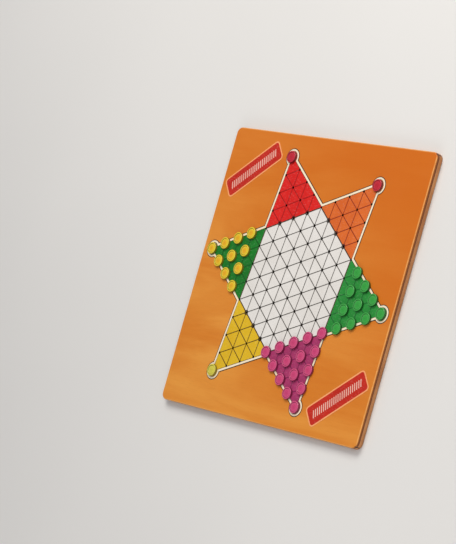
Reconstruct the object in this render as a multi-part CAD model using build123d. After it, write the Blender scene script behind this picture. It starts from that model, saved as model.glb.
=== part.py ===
from build123d import *
import os
from math import sqrt

# Chinese checkers peg board, millimetres, +Z up.
# Origin at the middle of the underside, +X and +Y square to the edges.

# Slab: two square panels glued face to face
board_side = 260.0
corner_radius = 6.0
base_thickness = 4.7
top_thickness = 2.7
rim_round = 0.9
joint_bevel = 0.35
foot_bevel = 0.5

# Star and its triangular lattice of holes
hole_pitch = 17.0
hexagon_steps = 4
star_turn = -7.0
hole_radius = 1.2
hole_depth = 5.8

# Inlaid fields and the outline round them
inlay_thickness = 1.0
inlay_stand = 0.2
field_margin = 0.4
field_tip_radius = 5.7
stripe_margin = 0.9
stripe_tip_radius = 6.0
stripe_outer_margin = 2.8
stripe_outer_tip_radius = 7.7
keyline_margin = 3.6
keyline_tip_radius = 8.4
keyline_thickness = 0.5
keyline_drop = 0.12

# Corner plates
plate_length = 72.0
plate_width = 20.0
plate_offset = 131.0
plate_turn = 38.0
plate_corner = 4.0
trim_width = 1.3

# Pegs
shank_radius = 1.1
shank_length = 5.3
shank_nose = 0.5
head_radius = 5.5
head_height = 2.5
head_foot_bevel = 0.35
head_rim_round = 0.6
dish_radius = 3.85
dish_depth = 0.45
dish_rise = 0.25

# Derived levels
panel_top = base_thickness + top_thickness
play_level = panel_top + inlay_stand
pocket_floor = play_level - inlay_thickness
hexagon_radius = hexagon_steps * hole_pitch
tip_radius = hexagon_radius * sqrt(3)
tip_angles = [60 * i + star_turn for i in range(6)]

os.makedirs("parts", exist_ok=True)


def save(name, shape):
    shape.label = name
    export_step(shape, "parts/" + name + ".step")


def polar(radius, angle):
    return Vector(radius, 0).rotate(Axis.Z, angle)


def upright(face, bottom, height):
    return extrude(Pos(0, 0, bottom) * face, height, dir=(0, 0, 1))


# Star outline grown by a margin, with a round bulge at each of the six tips
def star_face(margin, bulge):
    reach = tip_radius + 2 * margin
    face = RegularPolygon(reach, 3, rotation=star_turn)
    face += RegularPolygon(reach, 3, rotation=star_turn + 180)
    for angle in tip_angles:
        face += Pos(*polar(tip_radius, angle)) * Circle(bulge)
    return face


# The 121 holes: every lattice point inside one of two large triangles
step_a = polar(hole_pitch, 30 + star_turn)
step_b = polar(hole_pitch, 90 + star_turn)
reach_steps = range(-2 * hexagon_steps, 2 * hexagon_steps + 1)
nodes = {}
for a in reach_steps:
    for b in reach_steps:
        c = -a - b
        if min(a, b, c) >= -hexagon_steps or max(a, b, c) <= hexagon_steps:
            nodes[(a, b)] = step_a * a + step_b * b

drill_bottom = play_level - hole_depth
drill = Cylinder(hole_radius, hole_depth + 1, align=(Align.CENTER, Align.CENTER, Align.MIN))


def drilled(shape, places):
    holes = [Pos(p.X, p.Y, drill_bottom) * drill for p in places]
    return shape - holes


# Panels
slab = RectangleRounded(board_side, board_side, corner_radius)
base_panel = upright(slab, 0, base_thickness)
base_panel = chamfer(base_panel.edges().group_by(Axis.Z)[-1], joint_bevel)
base_panel = chamfer(base_panel.edges().group_by(Axis.Z)[0], foot_bevel)

top_panel = upright(slab, base_thickness, top_thickness)
top_panel = fillet(top_panel.edges().group_by(Axis.Z)[-1], rim_round)
top_panel = chamfer(top_panel.edges().group_by(Axis.Z)[0], joint_bevel)


# Corner plates lie across two opposite corners
def plate_outline(inset):
    long_side = plate_length - 2 * inset
    short_side = plate_width - 2 * inset
    return RectangleRounded(long_side, short_side, plate_corner - inset)


plate_places = {
    "left": Pos(*polar(plate_offset, 135)) * Rot(0, 0, plate_turn),
    "right": Pos(*polar(plate_offset, -45)) * Rot(0, 0, plate_turn),
}

pocket = upright(star_face(keyline_margin, keyline_tip_radius), pocket_floor, inlay_thickness + 1)
top_panel -= pocket
for place in plate_places.values():
    top_panel -= place * upright(plate_outline(0), pocket_floor, inlay_thickness + 1)

save("base_panel", drilled(base_panel, nodes.values()))
save("top_panel", drilled(top_panel, nodes.values()))

for side, place in plate_places.items():
    trim = plate_outline(0) - plate_outline(trim_width)
    save("plate_trim_" + side, place * upright(trim, pocket_floor, inlay_thickness))
    save("plate_" + side, place * upright(plate_outline(trim_width), pocket_floor, inlay_thickness))

# Fields: a hexagon in the middle and six coloured points
inlay_star = star_face(field_margin, field_tip_radius)
hexagon = RegularPolygon(hexagon_radius, 6, rotation=star_turn + 30)
centre_field = upright(hexagon, pocket_floor, inlay_thickness)
save("field_centre", drilled(centre_field, nodes.values()))

field_names = ["green", "orange", "red", "mint", "yellow", "magenta"]
for name, angle in zip(field_names, tip_angles):
    far = 2 * tip_radius
    sector = Polygon((0, 0), polar(far, angle - 30), polar(far, angle + 30), align=None)
    point = (inlay_star & sector) - hexagon
    field = upright(point, pocket_floor, inlay_thickness)
    near = [p for p in nodes.values() if p.length > hexagon_radius * 0.8]
    save("field_" + name, drilled(field, near))

# Outline: a pale stripe let into a dark keyline strip
keyline_top = play_level - keyline_drop
stripe_bottom = pocket_floor + keyline_thickness
strip = star_face(keyline_margin, keyline_tip_radius) - inlay_star
stripe = star_face(stripe_outer_margin, stripe_outer_tip_radius)
stripe -= star_face(stripe_margin, stripe_tip_radius)
keyline = upright(strip, pocket_floor, keyline_top - pocket_floor)
keyline -= upright(stripe, stripe_bottom, inlay_thickness)
save("star_keyline", drilled(keyline, nodes.values()))
stripe_solid = upright(stripe, stripe_bottom, play_level - stripe_bottom)
save("star_stripe", drilled(stripe_solid, nodes.values()))

# Peg: a slim shank under a low round head with a dished, gently domed top
peg_profile = Polyline(
    (0, -shank_length),
    (shank_radius - shank_nose, -shank_length),
    (shank_radius, -shank_length + shank_nose),
    (shank_radius, 0),
    (head_radius - head_foot_bevel, 0),
    (head_radius, head_foot_bevel),
    (head_radius, head_height - head_rim_round),
)
rim_start = (head_radius, head_height - head_rim_round)
rim_top = (head_radius - head_rim_round, head_height)
rim_inner = (dish_radius + dish_depth, head_height)
dish_foot = (dish_radius, head_height - dish_depth)
dish_middle = (0, head_height - dish_depth + dish_rise)
rim_mid_x = head_radius - head_rim_round * (1 - sqrt(0.5))
rim_mid_z = head_height - head_rim_round * (1 - sqrt(0.5))
dome_radius = (dish_radius**2 + dish_rise**2) / (2 * dish_rise)
dome_centre = dish_middle[1] - dome_radius
dome_mid = (dish_radius / 2, dome_centre + sqrt(dome_radius**2 - (dish_radius / 2) ** 2))
outline = peg_profile
outline += ThreePointArc(rim_start, (rim_mid_x, rim_mid_z), rim_top)
outline += Line(rim_top, rim_inner)
outline += Line(rim_inner, dish_foot)
outline += ThreePointArc(dish_foot, dome_mid, dish_middle)
outline += Line(dish_middle, (0, -shank_length))
peg = revolve(Plane.XZ * make_face(outline), Axis.Z, 360)

# Pegs stand in two full points, in the magenta point with its base row,
# and singly on the tips of the other three points
full = 2 * hexagon_steps
peg_sets = {
    "green": [k for k in nodes if k[0] > hexagon_steps],
    "yellow": [k for k in nodes if k[0] < -hexagon_steps],
    "magenta": [k for k in nodes if k[1] <= -hexagon_steps and k[0] >= 0 and k[0] + k[1] <= 0],
    "crimson": [(-hexagon_steps, full), (hexagon_steps, hexagon_steps)],
    "lime": [(-hexagon_steps, -hexagon_steps)],
}
for colour, places in peg_sets.items():
    for number, key in enumerate(sorted(places), start=1):
        spot = nodes[key]
        save("peg_%s_%02d" % (colour, number), Pos(spot.X, spot.Y, play_level) * peg)
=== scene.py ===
import math

import bmesh
import bpy
from mathutils import Matrix, Vector


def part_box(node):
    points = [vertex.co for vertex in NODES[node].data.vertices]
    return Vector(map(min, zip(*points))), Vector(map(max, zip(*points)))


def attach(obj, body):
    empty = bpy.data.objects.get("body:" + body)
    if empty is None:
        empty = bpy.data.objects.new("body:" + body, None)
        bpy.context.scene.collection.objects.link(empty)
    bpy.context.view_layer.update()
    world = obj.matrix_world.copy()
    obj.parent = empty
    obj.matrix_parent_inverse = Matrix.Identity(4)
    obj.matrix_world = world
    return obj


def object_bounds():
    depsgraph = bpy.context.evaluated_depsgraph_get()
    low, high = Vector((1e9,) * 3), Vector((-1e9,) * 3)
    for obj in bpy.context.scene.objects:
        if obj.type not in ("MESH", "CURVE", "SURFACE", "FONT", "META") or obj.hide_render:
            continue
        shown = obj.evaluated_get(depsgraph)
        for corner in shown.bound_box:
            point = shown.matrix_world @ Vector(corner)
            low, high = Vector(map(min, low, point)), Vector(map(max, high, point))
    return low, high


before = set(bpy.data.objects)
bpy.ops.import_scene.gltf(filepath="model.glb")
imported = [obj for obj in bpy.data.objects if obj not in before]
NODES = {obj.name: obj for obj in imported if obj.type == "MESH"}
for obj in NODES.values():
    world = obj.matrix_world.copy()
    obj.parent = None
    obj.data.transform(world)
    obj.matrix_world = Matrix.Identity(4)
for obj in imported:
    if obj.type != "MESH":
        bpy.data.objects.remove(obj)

cad_low, cad_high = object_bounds()
MM = 0.001

# The board's own sizes, in metres, as in the CAD model. The lattice has STEPS pitches to a
# side of its hexagon and is turned clockwise by TURN.
PITCH = 17.0 * MM
STEPS = 4
TURN = math.radians(-7.0)
HOLE_RADIUS = 1.2 * MM
PLATE_OFFSET = 131.0 * MM
PLATE_TURN = math.radians(38.0)
HALF_SIDE = cad_high.x
PLAY_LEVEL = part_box("field_centre")[1].z
PANEL_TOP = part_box("top_panel")[1].z
JOINT_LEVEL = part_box("base_panel")[1].z

# Ink sits proud of the inlays by a print's thickness
INK_HEIGHT = 0.05 * MM
INK_SUNK = 0.03 * MM
LINE_WIDTH = 0.86 * MM
RIM_LINE_RATIO = 1.25
# The floor lies just under the board
FLOOR_LEVEL = -0.2 * MM
# Bare gap between a hole and the lines that run up to it, and between a hole and its dot
LINE_GAP = 0.12 * MM
DOT_GAP = 0.04 * MM
LARGE_DOT_RADIUS = 2.35 * MM
SMALL_DOT_RADIUS = 1.55 * MM


# ---------------------------------------------------------------- camera, floor and lights
def make_camera():
    """A long lens from low on the +X side, rolled so that the board leans as it lies."""
    look = Vector((-0.75273, 0.07328, -0.65424)).normalized()
    up_hint = Vector((-0.12707, 0.95892, 0.25361))
    right = look.cross(up_hint).normalized()
    up = right.cross(look).normalized()
    data = bpy.data.cameras.new("camera")
    data.sensor_fit = "HORIZONTAL"
    data.sensor_width = 36.0
    data.lens = 2514.6 / 456.0 * 36.0
    data.clip_start = 0.05
    data.clip_end = 50.0
    camera = bpy.data.objects.new("camera", data)
    turn = Matrix((right, up, -look)).transposed().to_4x4()
    camera.matrix_world = Matrix.Translation((1.62606, -0.17122, 1.49746)) @ turn
    bpy.context.scene.collection.objects.link(camera)
    bpy.context.scene.camera = camera


def area_light(name, place, aim, size, watts, colour):
    data = bpy.data.lights.new(name, "AREA")
    data.shape = "RECTANGLE"
    data.size = size[0]
    data.size_y = size[1]
    data.energy = watts
    data.color = colour
    lamp = bpy.data.objects.new(name, data)
    lamp.location = place
    lamp.rotation_euler = (Vector(aim) - Vector(place)).to_track_quat("-Z", "Y").to_euler()
    bpy.context.scene.collection.objects.link(lamp)


def make_lights():
    area_light("key_light", (0.05, 0.95, 1.15), (0, 0, 0), (1.0, 0.8), 15.0, (1.0, 0.97, 0.93))
    area_light("fill_light", (0.9, 0.1, 1.3), (0, 0, 0), (1.3, 1.3), 5.0, (0.97, 0.98, 1.0))
    area_light("edge_light", (0.6, -1.0, 0.6), (0, 0, 0), (0.9, 0.5), 3.0, (1.0, 0.95, 0.9))
    world = bpy.data.worlds.new("world")
    bpy.context.scene.world = world
    world.use_nodes = True
    background = world.node_tree.nodes["Background"]
    background.inputs["Color"].default_value = (0.92, 0.94, 1.0, 1.0)
    background.inputs["Strength"].default_value = 0.30
    bpy.context.scene.view_settings.view_transform = "Standard"
    bpy.context.scene.view_settings.look = "None"


# ---------------------------------------------------------------- shader building
def linear(red, green, blue):
    def channel(value):
        value /= 255.0
        if value <= 0.04045:
            return value / 12.92
        return ((value + 0.055) / 1.055) ** 2.4

    return (channel(red), channel(green), channel(blue), 1.0)


def shade(colour, factor):
    return (colour[0] * factor, colour[1] * factor, colour[2] * factor, 1.0)


class Paint:
    """A material and short calls that add nodes to it."""

    def __init__(self, name):
        self.material = bpy.data.materials.new(name)
        self.material.use_nodes = True
        self.tree = self.material.node_tree
        self.bsdf = self.tree.nodes["Principled BSDF"]
        self.coords = self.add("ShaderNodeTexCoord")
        self.bump_normal = None

    def add(self, kind, **values):
        node = self.tree.nodes.new(kind)
        for key, value in values.items():
            setattr(node, key, value)
        return node

    def put(self, socket, value):
        if isinstance(value, bpy.types.NodeSocket):
            self.tree.links.new(value, socket)
        else:
            socket.default_value = value

    def math(self, operation, first, second=0.0, third=0.0, clamp=False):
        node = self.add("ShaderNodeMath", operation=operation, use_clamp=clamp)
        self.put(node.inputs[0], first)
        self.put(node.inputs[1], second)
        self.put(node.inputs[2], third)
        return node.outputs[0]

    def split(self, vector):
        node = self.add("ShaderNodeSeparateXYZ")
        self.put(node.inputs[0], vector)
        return node.outputs

    def stretch(self, scale, angle=0.0, source="Object"):
        node = self.add("ShaderNodeMapping")
        self.put(node.inputs["Vector"], self.coords.outputs[source])
        node.inputs["Rotation"].default_value = (0.0, 0.0, angle)
        node.inputs["Scale"].default_value = scale
        return node.outputs[0]

    def noise(self, vector, scale=1.0, detail=3.0, roughness=0.5, distortion=0.0):
        node = self.add("ShaderNodeTexNoise")
        self.put(node.inputs["Vector"], vector)
        node.inputs["Scale"].default_value = scale
        node.inputs["Detail"].default_value = detail
        node.inputs["Roughness"].default_value = roughness
        node.inputs["Distortion"].default_value = distortion
        return node.outputs["Fac"]

    def span(self, value, low, high, to_low=0.0, to_high=1.0, smooth=False):
        node = self.add("ShaderNodeMapRange")
        node.clamp = True
        if smooth:
            node.interpolation_type = "SMOOTHSTEP"
        self.put(node.inputs["Value"], value)
        node.inputs["From Min"].default_value = low
        node.inputs["From Max"].default_value = high
        node.inputs["To Min"].default_value = to_low
        node.inputs["To Max"].default_value = to_high
        return node.outputs["Result"]

    def mix(self, factor, first, second, blend="MIX"):
        node = self.add("ShaderNodeMix", data_type="RGBA", blend_type=blend)
        self.put(node.inputs["Factor"], factor)
        self.put(node.inputs[6], first)
        self.put(node.inputs[7], second)
        return node.outputs[2]

    def bump(self, height, distance, strength=1.0):
        node = self.add("ShaderNodeBump")
        self.put(node.inputs["Height"], height)
        node.inputs["Distance"].default_value = distance
        node.inputs["Strength"].default_value = strength
        if self.bump_normal is not None:
            self.put(node.inputs["Normal"], self.bump_normal)
        self.bump_normal = node.outputs[0]

    def finish(self, colour, roughness, coat=0.0, coat_roughness=0.1, specular=0.5):
        self.put(self.bsdf.inputs["Base Color"], colour)
        self.put(self.bsdf.inputs["Roughness"], roughness)
        self.bsdf.inputs["Coat Weight"].default_value = coat
        self.bsdf.inputs["Coat Roughness"].default_value = coat_roughness
        self.bsdf.inputs["Specular IOR Level"].default_value = specular
        if self.bump_normal is not None:
            self.put(self.bsdf.inputs["Normal"], self.bump_normal)
        return self.material


def rim_distance(paint):
    """Distance inwards from the board's square edge."""
    x, y, z = paint.split(paint.coords.outputs["Object"])
    across = paint.math("MAXIMUM", paint.math("ABSOLUTE", x), paint.math("ABSOLUTE", y))
    return paint.math("SUBTRACT", HALF_SIDE, across), x, y, z


def wood_grain(paint, angle, light, mid, dark):
    """Broad figure, growth bands and fine fibre, as one colour and a fibre height."""
    figure = paint.noise(paint.stretch((5.0, 22.0, 22.0), angle), 1.0, 4.0, 0.55, 0.6)
    bands = paint.noise(paint.stretch((9.0, 150.0, 60.0), angle), 1.0, 3.0, 0.5, 1.2)
    fibre = paint.noise(paint.stretch((70.0, 1500.0, 400.0), angle), 1.0, 4.0, 0.65)
    fleck = paint.noise(paint.stretch((110.0, 2600.0, 500.0), angle), 1.0, 2.0, 0.5)
    base = paint.mix(paint.span(figure, 0.34, 0.68, smooth=True), dark, light)
    base = paint.mix(paint.span(bands, 0.3, 0.75, 0.0, 0.42), base, mid)
    base = paint.mix(paint.span(fibre, 0.5, 0.8, 0.0, 0.20), base, shade(dark, 0.76))
    base = paint.mix(paint.span(fleck, 0.64, 0.76, 0.0, 0.26), base, shade(dark, 0.5))
    return base, fibre, fleck


def make_top_wood():
    paint = Paint("honey_wood")
    rim, x, y, z = rim_distance(paint)
    light, mid, dark = linear(238, 160, 66), linear(229, 143, 48), linear(219, 126, 34)
    face, fibre, fleck = wood_grain(paint, math.radians(14), light, mid, dark)
    # The face is a little darker towards one corner
    slant = paint.math("ADD", paint.math("MULTIPLY", x, 0.55), y)
    darker_corner = paint.span(slant, -0.14, 0.17, 0.0, 0.88, smooth=True)
    face = paint.mix(darker_corner, face, linear(210, 104, 12))
    # Painted highlight along the rounded top edge, broken by scuffs of real rubbing, and the
    # side faces darkened with stain and painted shade
    scuff = paint.noise(paint.stretch((240.0, 240.0, 240.0)), 1.0, 3.0, 0.6)
    # Painted highlight on the top edge, partly real wear where the scuff noise breaks it
    edge_highlight_and_wear = paint.span(rim, 0.25 * MM, 1.25 * MM, 1.0, 0.0)
    edge_highlight_and_wear = paint.math("MULTIPLY", edge_highlight_and_wear, paint.span(scuff, 0.3, 0.6, 0.55, 0.95))
    high = paint.span(z, PANEL_TOP - 0.75 * MM, PANEL_TOP - 0.25 * MM)
    face = paint.mix(paint.math("MULTIPLY", edge_highlight_and_wear, high), face, linear(246, 182, 104))
    # Painted shade on the top panel's side faces, partly a real darker edge stain
    side = paint.span(z, PANEL_TOP - 0.95 * MM, PANEL_TOP - 0.7 * MM, 1.0, 0.0)
    near_rim = paint.span(rim, 1.2 * MM, 1.6 * MM, 1.0, 0.0)
    side_stain_and_shade = paint.mix(paint.span(fibre, 0.3, 0.7), linear(132, 68, 22), linear(166, 94, 36))
    face = paint.mix(paint.math("MULTIPLY", side, near_rim), face, side_stain_and_shade)
    # Painted shade inside the drilled holes
    inner = paint.math("SUBTRACT", 1.0, near_rim)
    below = paint.span(z, PANEL_TOP - 0.4 * MM, PANEL_TOP - 0.2 * MM, 1.0, 0.0)
    top_hole_shade = paint.math("MULTIPLY", below, inner)
    face = paint.mix(top_hole_shade, face, linear(38, 22, 10))
    smudge = paint.noise(paint.stretch((22.0, 30.0, 30.0)), 1.0, 4.0, 0.6)
    scratch = paint.noise(paint.stretch((900.0, 26.0, 100.0), math.radians(33)), 1.0, 2.0, 0.5)
    handled = paint.span(smudge, 0.3, 0.7, 0.36, 0.50)
    scratched = paint.span(scratch, 0.6, 0.75, 0.0, 0.12)
    rough = paint.math("ADD", handled, scratched)
    paint.bump(fibre, 0.05 * MM, 0.35)
    paint.bump(paint.math("SUBTRACT", 1.0, fleck), 0.05 * MM, 0.25)
    return paint.finish(face, rough, coat=0.06, coat_roughness=0.22, specular=0.28)


def make_base_wood():
    paint = Paint("tan_base_wood")
    rim, x, y, z = rim_distance(paint)
    light, mid, dark = linear(226, 160, 100), linear(208, 138, 80), linear(188, 118, 64)
    tone, fibre, fleck = wood_grain(paint, math.radians(-8), light, mid, dark)
    layers = paint.noise(paint.stretch((14.0, 14.0, 1400.0)), 1.0, 2.0, 0.5)
    tone = paint.mix(paint.span(layers, 0.42, 0.62, 0.0, 0.4), tone, linear(126, 74, 36))
    speck = paint.noise(paint.stretch((700.0, 700.0, 700.0)), 1.0, 3.0, 0.7)
    tone = paint.mix(paint.span(speck, 0.55, 0.8, 0.0, 0.35), tone, linear(206, 156, 104))
    # Painted shade in a band just under the joint with the top panel
    joint_shade = paint.span(z, JOINT_LEVEL - 0.45 * MM, JOINT_LEVEL - 0.15 * MM)
    tone = paint.mix(joint_shade, tone, linear(74, 38, 14))
    rubbed = paint.span(z, 0.25 * MM, 0.7 * MM, 0.5, 0.0)
    outside = paint.span(rim, 0.5 * MM, 1.4 * MM, 1.0, 0.0)
    tone = paint.mix(paint.math("MULTIPLY", rubbed, outside), tone, linear(206, 150, 96))
    # Painted shade inside the holes where they run down into the base panel
    above_foot = paint.span(z, 0.8 * MM, 1.2 * MM)
    hole = paint.math("MULTIPLY", above_foot, paint.span(rim, 1.2 * MM, 1.6 * MM))
    tone = paint.mix(hole, tone, linear(34, 20, 10))
    rough = paint.span(speck, 0.3, 0.7, 0.55, 0.72)
    paint.bump(speck, 0.08 * MM, 0.5)
    paint.bump(fibre, 0.06 * MM, 0.4)
    return paint.finish(tone, rough, coat=0.05, coat_roughness=0.35)


def make_print(name, colour, second, hole=True, gloss=0.48):
    """Satin printed film: ink mottle, faint fibre of the card under it, fine rubbing."""
    paint = Paint(name)
    z = paint.split(paint.coords.outputs["Object"])[2]
    cloud = paint.noise(paint.stretch((42.0, 42.0, 42.0)), 1.0, 4.0, 0.6, 0.3)
    grit = paint.noise(paint.stretch((1500.0, 1500.0, 1500.0)), 1.0, 2.0, 0.6)
    card = paint.noise(paint.stretch((380.0, 900.0, 380.0), math.radians(20)), 1.0, 3.0, 0.6)
    tone = paint.mix(paint.span(cloud, 0.3, 0.7), colour, second)
    tone = paint.mix(paint.span(grit, 0.45, 0.8, 0.0, 0.16), tone, shade(colour, 0.72))
    tone = paint.mix(paint.span(card, 0.55, 0.8, 0.0, 0.12), tone, (1.0, 0.98, 0.94, 1.0))
    if hole:
        # Painted shade down inside the holes
        print_hole_shade = paint.span(z, PLAY_LEVEL - 0.22 * MM, PLAY_LEVEL - 0.08 * MM, 1.0, 0.0)
        tone = paint.mix(print_hole_shade, tone, linear(26, 18, 12))
    rub = paint.noise(paint.stretch((60.0, 420.0, 60.0), math.radians(-25)), 1.0, 3.0, 0.6)
    rough = paint.span(rub, 0.3, 0.75, gloss - 0.07, gloss + 0.13)
    paint.bump(card, 0.03 * MM, 0.35)
    return paint.finish(tone, rough, coat=0.03, coat_roughness=0.3, specular=0.26)


def make_peg(name, middle, ring, edge):
    """Glossy moulded plastic: dished middle, a paler rim that is a painted highlight, painted
    shade on the dish wall, the side of the head and the shank, a gate mark, swirl and rub
    marks.
    """
    paint = Paint(name)
    x, y, z = paint.split(paint.coords.outputs["Generated"])
    dx = paint.math("SUBTRACT", x, 0.5)
    dy = paint.math("SUBTRACT", y, 0.5)
    square = paint.math("ADD", paint.math("MULTIPLY", dx, dx), paint.math("MULTIPLY", dy, dy))
    radius = paint.math("SQRT", square)
    swirl = paint.noise(paint.stretch((3.0, 3.0, 3.0), source="Generated"), 1.0, 4.0, 0.6, 1.6)
    # Painted highlight: the head grows paler from the middle out to the rim
    tone = paint.mix(paint.span(radius, 0.14, 0.36, smooth=True), middle, ring)
    tone = paint.mix(paint.span(swirl, 0.35, 0.7, 0.0, 0.28), tone, shade(middle, 0.86))
    # Radius and height are shares of the peg's own box
    # Painted shade on the wall of the dish
    inner_edge = paint.span(radius, 0.340, 0.356)
    dish_wall_shade = paint.math("MULTIPLY", inner_edge, paint.span(radius, 0.396, 0.412, 1.0, 0.0))
    tone = paint.mix(paint.math("MULTIPLY", dish_wall_shade, 0.72), tone, edge)
    # Painted shade on the side of the head, standing in for a dark outline
    outer_edge = paint.span(radius, 0.470, 0.490)
    side = paint.math("MULTIPLY", outer_edge, paint.span(z, 0.955, 0.985, 1.0, 0.0))
    tone = paint.mix(paint.math("MULTIPLY", side, 0.85), tone, edge)
    # Painted shade on the shank under the head
    shank_shade = paint.span(z, 0.67, 0.69, 1.0, 0.0)
    tone = paint.mix(shank_shade, tone, shade(middle, 0.7))
    gate = paint.span(radius, 0.03, 0.045, 0.35, 0.0)
    tone = paint.mix(gate, tone, edge)
    rub = paint.noise(paint.stretch((26.0, 5.0, 5.0), 0.6, source="Generated"), 1.0, 3.0, 0.6)
    rough = paint.span(rub, 0.35, 0.75, 0.20, 0.38)
    fine = paint.noise(paint.stretch((30.0, 30.0, 30.0), source="Generated"), 1.0, 2.0, 0.5)
    paint.bump(fine, 0.03 * MM, 0.3)
    return paint.finish(tone, rough, coat=0.15, coat_roughness=0.12, specular=0.4)


def make_floor_paint():
    paint = Paint("pale_floor")
    cloud = paint.noise(paint.stretch((1.6, 1.6, 1.6)), 1.0, 3.0, 0.5)
    tone = paint.mix(paint.span(cloud, 0.3, 0.7), linear(228, 226, 222), linear(234, 232, 228))
    return paint.finish(tone, 0.8, specular=0.2)


def dress(node, material):
    slots = NODES[node].data.materials
    if not slots:
        slots.append(material)
    for index in range(len(slots)):
        slots[index] = material


# ---------------------------------------------------------------- printed lines and dots
def polar(radius, angle):
    return Vector((radius * math.cos(angle), radius * math.sin(angle), 0.0))


STEP_A = polar(PITCH, math.radians(30) + TURN)
STEP_B = polar(PITCH, math.radians(90) + TURN)


def lattice():
    places = {}
    for a in range(-2 * STEPS, 2 * STEPS + 1):
        for b in range(-2 * STEPS, 2 * STEPS + 1):
            c = -a - b
            if min(a, b, c) >= -STEPS or max(a, b, c) <= STEPS:
                places[(a, b)] = STEP_A * a + STEP_B * b
    return places


def cube(key):
    return (key[0], key[1], -key[0] - key[1])


def in_hexagon(key):
    return max(abs(v) for v in cube(key)) <= STEPS


def point_of(first, second):
    """Name of the star point that a lattice segment lies in, or centre, rim or outline."""
    ends = (cube(first), cube(second))
    if in_hexagon(first) and in_hexagon(second):
        for axis in range(3):
            if abs(ends[0][axis]) == STEPS and ends[0][axis] == ends[1][axis]:
                return "rim"
        return "centre"
    names = {(0, 1): "green", (1, 1): "red", (2, 1): "yellow"}
    names.update({(0, -1): "mint", (1, -1): "magenta", (2, -1): "orange"})
    for axis in range(3):
        for sign in (1, -1):
            if max(sign * ends[0][axis], sign * ends[1][axis]) > STEPS:
                for other in range(3):
                    if other != axis and ends[0][other] == ends[1][other] == -sign * STEPS:
                        return "outline"
                return names[(axis, sign)]
    return "outline"


def add_prism(mesh, corners, low, high):
    """A closed flat prism over a convex outline of points."""
    bottom = [mesh.verts.new((p.x, p.y, low)) for p in corners]
    top = [mesh.verts.new((p.x, p.y, high)) for p in corners]
    mesh.faces.new(list(reversed(bottom)))
    mesh.faces.new(top)
    count = len(corners)
    for i in range(count):
        j = (i + 1) % count
        mesh.faces.new((bottom[i], bottom[j], top[j], top[i]))


def add_strip(mesh, start, end, width, low, high):
    along = (end - start).normalized()
    side = Vector((-along.y, along.x, 0.0)) * (width / 2)
    add_prism(mesh, [start - side, end - side, end + side, start + side], low, high)


def add_ring(mesh, centre, inner, outer, low, high, sides=28):
    loops = []
    for radius, level in ((inner, low), (outer, low), (outer, high), (inner, high)):
        ring = []
        for i in range(sides):
            spot = centre + polar(radius, 2 * math.pi * i / sides)
            ring.append(mesh.verts.new((spot.x, spot.y, level)))
        loops.append(ring)
    for k in range(4):
        here, there = loops[k], loops[(k + 1) % 4]
        for i in range(sides):
            j = (i + 1) % sides
            mesh.faces.new((here[i], there[i], there[j], here[j]))


def piece(name, mesh, material):
    bmesh.ops.recalc_face_normals(mesh, faces=mesh.faces)
    data = bpy.data.meshes.new(name)
    mesh.to_mesh(data)
    mesh.free()
    data.materials.append(material)
    item = bpy.data.objects.new(name, data)
    bpy.context.scene.collection.objects.link(item)
    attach(item, "board")


def make_lines(places):
    inks = {
        "centre": linear(84, 80, 74),
        "rim": linear(70, 46, 30),
        "green": linear(24, 96, 40),
        "mint": linear(10, 78, 22),
        "red": linear(150, 12, 10),
        "orange": linear(140, 44, 16),
        "yellow": linear(92, 66, 14),
        "magenta": linear(120, 30, 76),
    }
    meshes = {name: bmesh.new() for name in inks}
    low, high = PLAY_LEVEL - INK_SUNK, PLAY_LEVEL + INK_HEIGHT
    gap = HOLE_RADIUS + LINE_GAP
    for key, start in places.items():
        for step in ((1, 0), (0, 1), (1, -1)):
            other = (key[0] + step[0], key[1] + step[1])
            if other not in places:
                continue
            zone = point_of(key, other)
            if zone == "outline":
                continue
            end = places[other]
            along = (end - start).normalized() * gap
            width = LINE_WIDTH * (RIM_LINE_RATIO if zone == "rim" else 1.0)
            add_strip(meshes[zone], start + along, end - along, width, low, high)
    for name, mesh in meshes.items():
        ink = make_print("ink_" + name, inks[name], shade(inks[name], 1.25), hole=False)
        piece("lines_" + name, mesh, ink)


def make_dots(places):
    """Small printed rings round the holes, larger on the sides of the hexagon left open."""
    small, large = bmesh.new(), bmesh.new()
    low, high = PLAY_LEVEL - INK_SUNK, PLAY_LEVEL + INK_HEIGHT * 0.8
    for key, spot in places.items():
        a, b, c = cube(key)
        if not in_hexagon(key):
            continue
        open_side = STEPS in (b, c) or c == -STEPS
        corner = sorted((abs(a), abs(b), abs(c))) == [0, STEPS, STEPS]
        if open_side and not corner:
            add_ring(large, spot, HOLE_RADIUS + DOT_GAP, LARGE_DOT_RADIUS, low, high)
        elif max(abs(a), abs(b), abs(c)) < STEPS:
            add_ring(small, spot, HOLE_RADIUS + DOT_GAP, SMALL_DOT_RADIUS, low, high)
    black = make_print("ink_black", linear(26, 22, 20), linear(40, 34, 30), hole=False)
    grey = make_print("ink_grey", linear(60, 56, 52), linear(80, 76, 70), hole=False)
    piece("dots_large", large, black)
    piece("dots_small", small, grey)


def make_ornament():
    """An even hatch of equal leaning strokes along each corner plate."""
    pale = make_print("ink_pale_pink", linear(248, 204, 186), linear(242, 184, 164), hole=False)
    low, high = PLAY_LEVEL - INK_SUNK, PLAY_LEVEL + INK_HEIGHT
    along = polar(1.0, PLATE_TURN)
    across = Vector((-along.y, along.x, 0.0))
    count = 24
    spacing = 2.5 * MM
    tall = 3.3 * MM
    lean = 1.1 * MM
    width = 1.0 * MM
    for side, angle in (("left", 135.0), ("right", -45.0)):
        mesh = bmesh.new()
        centre = polar(PLATE_OFFSET, math.radians(angle))
        for i in range(count):
            middle = centre + along * (spacing * (i - (count - 1) / 2))
            foot = middle - along * lean - across * tall
            peak = middle + along * lean + across * tall
            add_strip(mesh, foot, peak, width, low, high)
        piece("plate_pattern_" + side, mesh, pale)


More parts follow.
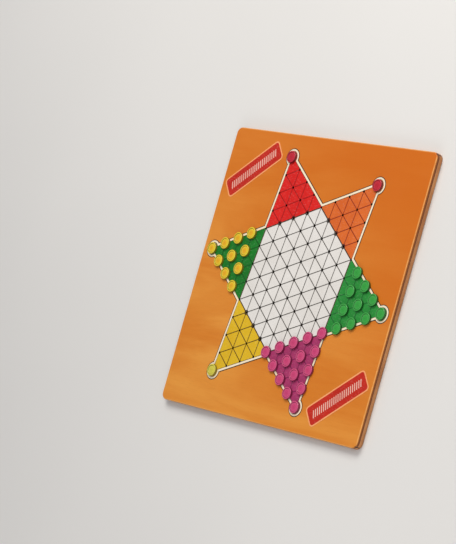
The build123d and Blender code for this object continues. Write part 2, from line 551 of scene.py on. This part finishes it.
# ---------------------------------------------------------------- assembly
def dress_all():
    dress("top_panel", make_top_wood())
    dress("base_panel", make_base_wood())
    fields = {
        "centre": ((238, 234, 228), (229, 224, 217)),
        "red": ((228, 34, 26), (214, 24, 20)),
        "orange": ((228, 112, 42), (216, 98, 34)),
        "green": ((44, 150, 60), (34, 134, 50)),
        "magenta": ((182, 60, 112), (164, 50, 100)),
        "yellow": ((232, 192, 34), (224, 178, 26)),
        "mint": ((24, 130, 40), (16, 112, 32)),
    }
    for name, (first, second) in fields.items():
        dress("field_" + name, make_print("print_" + name, linear(*first), linear(*second)))
    cream = make_print("print_cream", linear(255, 240, 212), linear(250, 230, 196))
    trim = make_print("print_peach", linear(255, 176, 116), linear(250, 160, 100))
    red = make_print("print_plate_red", linear(206, 44, 24), linear(190, 34, 20), hole=False)
    dress("star_stripe", cream)
    dress("star_keyline", make_print("print_keyline", linear(64, 34, 16), linear(50, 26, 12)))
    for side in ("left", "right"):
        dress("plate_trim_" + side, trim)
        dress("plate_" + side, red)
    # Per peg: middle tone, a paler rim tone used as painted highlight, and a dark tone used for
    # painted shade and the gate mark
    pegs = {
        "yellow": ((236, 176, 30), (240, 214, 52), (120, 104, 12)),
        "green": ((52, 160, 62), (66, 172, 74), (12, 74, 26)),
        "magenta": ((206, 66, 116), (220, 84, 132), (112, 22, 66)),
        "crimson": ((190, 34, 50), (206, 44, 62), (92, 10, 22)),
        "lime": ((214, 204, 74), (226, 216, 84), (120, 104, 24)),
    }
    for name, tones in pegs.items():
        material = make_peg("peg_plastic_" + name, *[linear(*tone) for tone in tones])
        for node in NODES:
            if node.startswith("peg_" + name):
                dress(node, material)


def make_floor():
    data = bpy.data.meshes.new("floor")
    mesh = bmesh.new()
    half = 6.0
    outline = ((-half, -half), (half, -half), (half, half), (-half, half))
    mesh.faces.new([mesh.verts.new((x, y, FLOOR_LEVEL)) for x, y in outline])
    mesh.to_mesh(data)
    mesh.free()
    data.materials.append(make_floor_paint())
    floor = bpy.data.objects.new("floor", data)
    bpy.context.scene.collection.objects.link(floor)


make_camera()
make_lights()
make_floor()
dress_all()
holes = lattice()
make_lines(holes)
make_dots(holes)
make_ornament()
